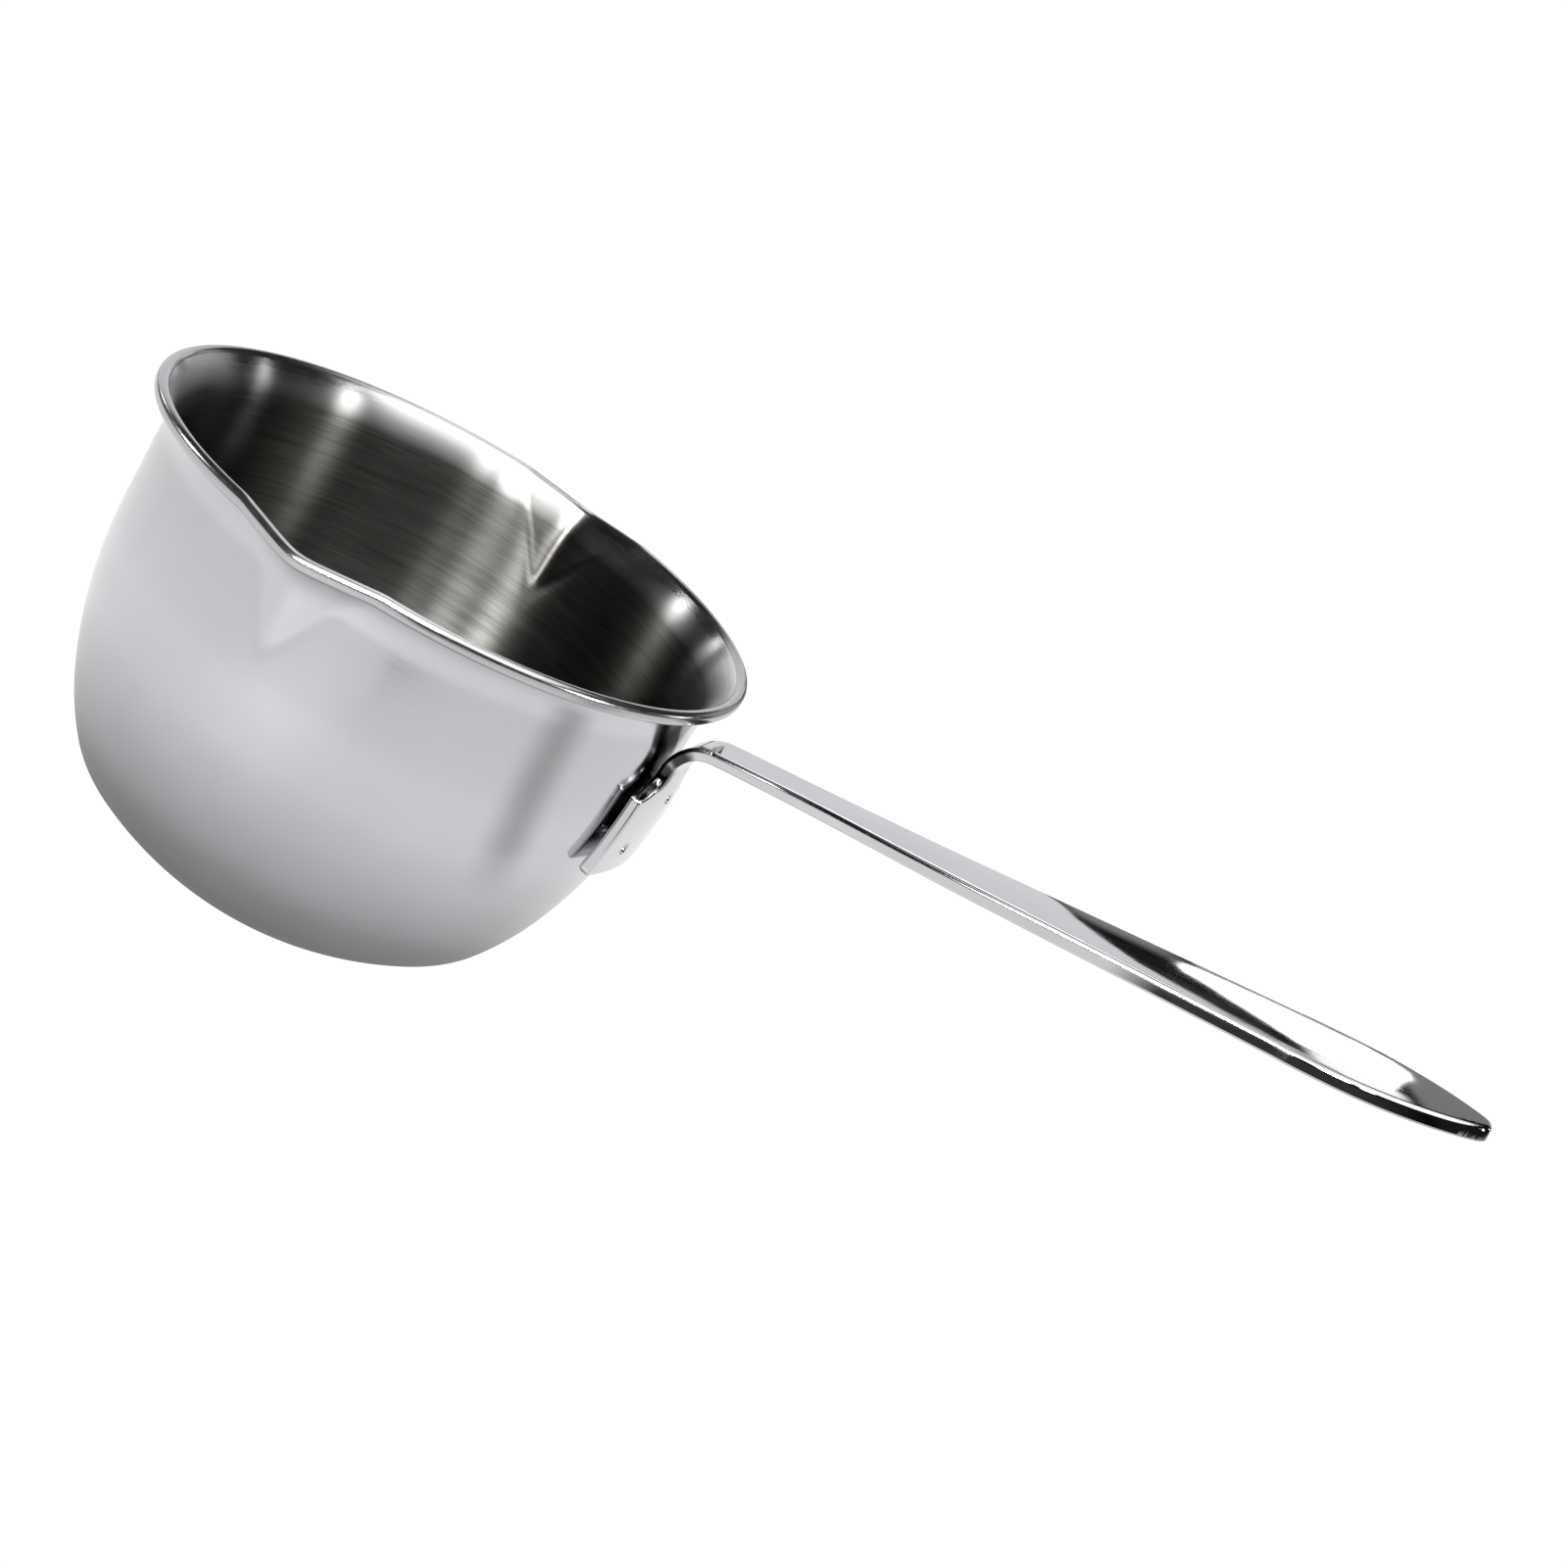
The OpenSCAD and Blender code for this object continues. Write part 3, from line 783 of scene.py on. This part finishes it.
# the table top as the steel mirrors it: bright, darkened where the pot shades it, ending a little way out
def table_mat():
    m = bpy.data.materials.new("table_mirrored")
    m.use_nodes = True
    nt = m.node_tree
    for n_ in list(nt.nodes):
        nt.nodes.remove(n_)
    out = nt.nodes.new("ShaderNodeOutputMaterial")
    em = nt.nodes.new("ShaderNodeEmission")
    nt.links.new(em.outputs[0], out.inputs[0])
    tc = nt.nodes.new("ShaderNodeTexCoord")
    sx = nt.nodes.new("ShaderNodeSeparateXYZ")
    nt.links.new(tc.outputs["Object"], sx.inputs[0])
    x, y = sx.outputs[0], sx.outputs[1]
    d = math_node(nt, "SQRT", math_node(nt, "ADD", math_node(nt, "MULTIPLY", x, x), math_node(nt, "MULTIPLY", y, y)))
    shade = ramp(nt, d, [(r_, g3(v_)) for r_, v_ in TABLE])
    # the front right of the table lies in the dark
    fx = remap(nt, x, 0.100, 0.115, 0.0, 1.0)
    fy = remap(nt, y, -0.250, -0.272, 0.0, 1.0)
    # and so does a band beside the handle
    turn = math_node(nt, "ARCTAN2", y, x)
    band = nt.nodes.new("ShaderNodeMapRange")
    band.interpolation_type = "SMOOTHSTEP"
    nt.links.new(math_node(nt, "ABSOLUTE", math_node(nt, "SUBTRACT", turn, rad(BAND[0]))), band.inputs[0])
    band.inputs[1].default_value, band.inputs[2].default_value = 0.0, rad(BAND[1])
    band.inputs[3].default_value, band.inputs[4].default_value = BAND[2], 0.0
    away = remap(nt, d, 0.085, 0.13, 0.0, 1.0)
    streak = math_node(nt, "SUBTRACT", 1.0, math_node(nt, "MULTIPLY", band.outputs[0], away))
    shade = math_node(nt, "MULTIPLY", shade, streak)
    # brightest a little in front of the pot
    lx = math_node(nt, "SUBTRACT", x, -0.01)
    ly = math_node(nt, "SUBTRACT", y, -0.175)
    ld = math_node(nt, "SQRT", math_node(nt, "ADD", math_node(nt, "MULTIPLY", lx, lx), math_node(nt, "MULTIPLY", ly, ly)))
    shade = math_node(nt, "ADD", shade, remap(nt, ld, 0.01, 0.085, 0.15, 0.0))
    dark = math_node(nt, "MULTIPLY", fx, fy)
    keep = math_node(nt, "SUBTRACT", 1.0, math_node(nt, "MULTIPLY", dark, 0.95))
    nt.links.new(math_node(nt, "MULTIPLY", shade, keep), em.inputs[1])
    return m


BAND = (-5.0, 14.0, 0.42)
TABLE = ((0.0, 0.18), (0.035, 0.24), (0.050, 0.35), (0.060, 0.52), (0.080, 0.74), (0.11, 0.95), (0.16, 0.99), (0.25, 0.88), (0.5, 0.85), (0.8, 0.1))
tv, tf = [(0, 0, -0.0006)], []
for i in range(72):
    a = 2 * pi * i / 72
    tv.append((0.9 * cos(a), 0.9 * sin(a), -0.0006))
for i in range(72):
    tf.append((0, 1 + i, 1 + (i + 1) % 72))
table = stage_mesh("table", tv, tf, table_mat(), camera=False, shadow=False)

world = bpy.data.worlds.new("studio")
bpy.context.scene.world = world
world.use_nodes = True
world.node_tree.nodes["Background"].inputs[0].default_value = (0.012, 0.012, 0.012, 1)
world.node_tree.nodes["Background"].inputs[1].default_value = 1.0


def soft_card(name, az, el, w, h, strength, colour=(1, 1, 1, 1), centre=(0.05, 0, 0.07), dist=1.6, soft=0.12, roll=0.0):
    """An emitting card facing the pot, with its light falling off softly towards its edges. Sizes in degrees."""
    a, e = rad(az), rad(el)
    d = Vector((sin(a) * cos(e), cos(a) * cos(e), sin(e)))
    c = Vector(centre) + d * dist
    right = Vector((cos(a), -sin(a), 0))
    up = right.cross(d)
    r_, u_ = right * cos(rad(roll)) + up * sin(rad(roll)), up * cos(rad(roll)) - right * sin(rad(roll))
    hw, hh = dist * tan(rad(w / 2)), dist * tan(rad(h / 2))
    vs = [c - r_ * hw - u_ * hh, c + r_ * hw - u_ * hh, c + r_ * hw + u_ * hh, c - r_ * hw + u_ * hh]
    o = stage_mesh(name, [tuple(v) for v in vs], [(0, 1, 2, 3)], emit_mat(name, strength, colour), camera=False, shadow=False)
    uv = o.data.uv_layers.new(name="card")
    for li, co in enumerate(((0, 0), (1, 0), (1, 1), (0, 1))):
        uv.data[li].uv = co
    nt = o.data.materials[0].node_tree
    em = nt.nodes["Emission"]
    tc = nt.nodes.new("ShaderNodeTexCoord")
    sx = nt.nodes.new("ShaderNodeSeparateXYZ")
    nt.links.new(tc.outputs["UV"], sx.inputs[0])
    fade = None
    for k in (0, 1):
        t_ = math_node(nt, "ABSOLUTE", math_node(nt, "SUBTRACT", math_node(nt, "MULTIPLY", sx.outputs[k], 2.0), 1.0))
        f_ = nt.nodes.new("ShaderNodeMapRange")
        f_.interpolation_type = "SMOOTHSTEP"
        f_.inputs[1].default_value, f_.inputs[2].default_value = 1.0, 1.0 - soft * 2
        f_.inputs[3].default_value, f_.inputs[4].default_value = 0.0, 1.0
        nt.links.new(t_, f_.inputs[0])
        fade = f_.outputs[0] if fade is None else math_node(nt, "MULTIPLY", fade, f_.outputs[0])
    nt.links.new(math_node(nt, "MULTIPLY", fade, strength), em.inputs[1])
    return o


def row_card(name, rows, strength, colour=(1, 1, 1, 1), centre=(0.17, 0.0, 0.09), dist=5.0, cols=12):
    """An emitting patch with an outline of its own: each row is (elevation, azimuth at its left, azimuth at its right)."""
    vs, fs = [], []
    for el, az0, az1 in rows:
        for k in range(cols + 1):
            a, e = rad(az0 + (az1 - az0) * k / cols), rad(el)
            vs.append(tuple(Vector(centre) + Vector((sin(a) * cos(e), cos(a) * cos(e), sin(e))) * dist))
    for j in range(len(rows) - 1):
        for k in range(cols):
            q = j * (cols + 1) + k
            fs.append((q, q + 1, q + cols + 2, q + cols + 1))
    return stage_mesh(name, vs, fs, emit_mat(name, strength, colour), camera=False, shadow=False)


# big overhead softbox over the camera
soft_card("softbox_top", 146, 66, 72, 40, 2.2, soft=0.10)
soft_card("softbox_mid", 140, 40, 60, 18, 2.0, soft=0.2)
soft_card("softbox_near", -179, 44, 22, 28, 7.0, soft=0.22)
soft_card("softbox_back", -26, 49, 22, 24, 2.2, soft=0.22)
soft_card("softbox_high", 0, 74, 60, 26, 1.5, soft=0.2)
# pale wall behind, a dim gap beside it, and the small bright window
G = (0.17, 0.0, 0.09)
row_card("wall_back", ((-12, -59, -8.6), (0, -59, -8.6), (10, -59, -8.6), (13.4, -59, -8.9), (15.8, -59, -8.8), (17.5, -59, -8.5),
                       (18.7, -59, -8.1), (19.3, -59, -7.0), (20.0, -59, -6.0), (20.7, -59, -4.5), (21.2, -59, -3.0), (29, -59, -2.5)),
         0.84, (0.98, 0.965, 1.0, 1))
soft_card("gap_low", -7.1, 8.0, 4.2, 12, 0.25, centre=G, dist=5.1, soft=0.35)
row_card("window_back", ((11.0, -5.2, -0.9), (11.5, -5.7, -0.4), (12.5, -6.0, 0.0), (13.5, -6.2, -0.05), (14.5, -6.2, -0.15),
                         (15.2, -5.7, -0.35), (16.2, -5.3, -0.6), (17.1, -4.8, -0.8), (18.1, -4.3, -1.0), (19.0, -3.9, -1.2),
                         (19.3, -3.2, -1.3), (19.7, -1.7, -1.35)), 1.9)
soft_card("gap_under", -2.8, 8.6, 6.5, 5.0, 0.40, centre=G, dist=5.1, soft=0.2)
soft_card("window_top", -2.4, 20.6, 3.0, 3.0, 1.4, centre=G, dist=5.1, soft=0.2)
soft_card("gap_right", 1.5, 13, 4.5, 18, 0.24, centre=G, dist=5.15, soft=0.1)
soft_card("wall_right", 17.5, 8, 28, 36, 0.42, centre=G, dist=5.2, soft=0.12)
# narrow lights that streak the brushed inside
for name_, az_, el_, wide_, high_, bright_ in (
        ("strip_a", 158, 26, 8, 20, 14.0), ("strip_b", -167, 28, 11, 22, 80.0), ("strip_c", 94, 17, 11, 22, 21.0),
        ("strip_d", -98, 15, 9, 20, 14.0), ("strip_e", 50, 13, 4, 16, 13.0), ("strip_f", -68, 13, 6, 16, 5.0),
        ("strip_g", 174, 27, 14, 20, 36.0)):
    soft_card(name_, az_, el_, wide_, high_, bright_, soft=0.3)
# low light-toned thing in front, seen by the inner half of the handle's side
stage_mesh("front_low", [(-0.30, -0.50, -0.03), (0.068, -0.50, -0.03), (0.068, -0.50, 0.10), (-0.30, -0.50, 0.10)], [(0, 1, 2, 3)],
           emit_mat("front_low", 0.60), camera=False, shadow=False)

# ---------------------------------------------------------------- camera
cam_data = bpy.data.cameras.new("camera")
cam_data.sensor_width = 36.0
cam_data.lens = 36.0 * 2700.0 / 1600.0
cam_data.clip_start = 0.01
cam = link(bpy.data.objects.new("camera", cam_data))
CAM_POS = (0.16329117, -0.45857488, 0.22540706)
AZ_TURN = rad(19.6 - 17.70)
base_cols = ((0.80968246, 0.28567512, 0.51264416), (-0.56955381, 0.17188948, 0.80378011), (0.14150184, -0.94278509, 0.30188325))
cols = []
for c_ in base_cols:
    cols.append(Vector((c_[0] * cos(AZ_TURN) - c_[1] * sin(AZ_TURN), c_[0] * sin(AZ_TURN) + c_[1] * cos(AZ_TURN), c_[2])))
rot = Matrix((cols[0], cols[1], cols[2])).transposed()
cam.matrix_world = Matrix.Translation(CAM_POS) @ rot.to_4x4()
bpy.context.scene.camera = cam
bpy.context.scene.view_settings.view_transform = "Standard"
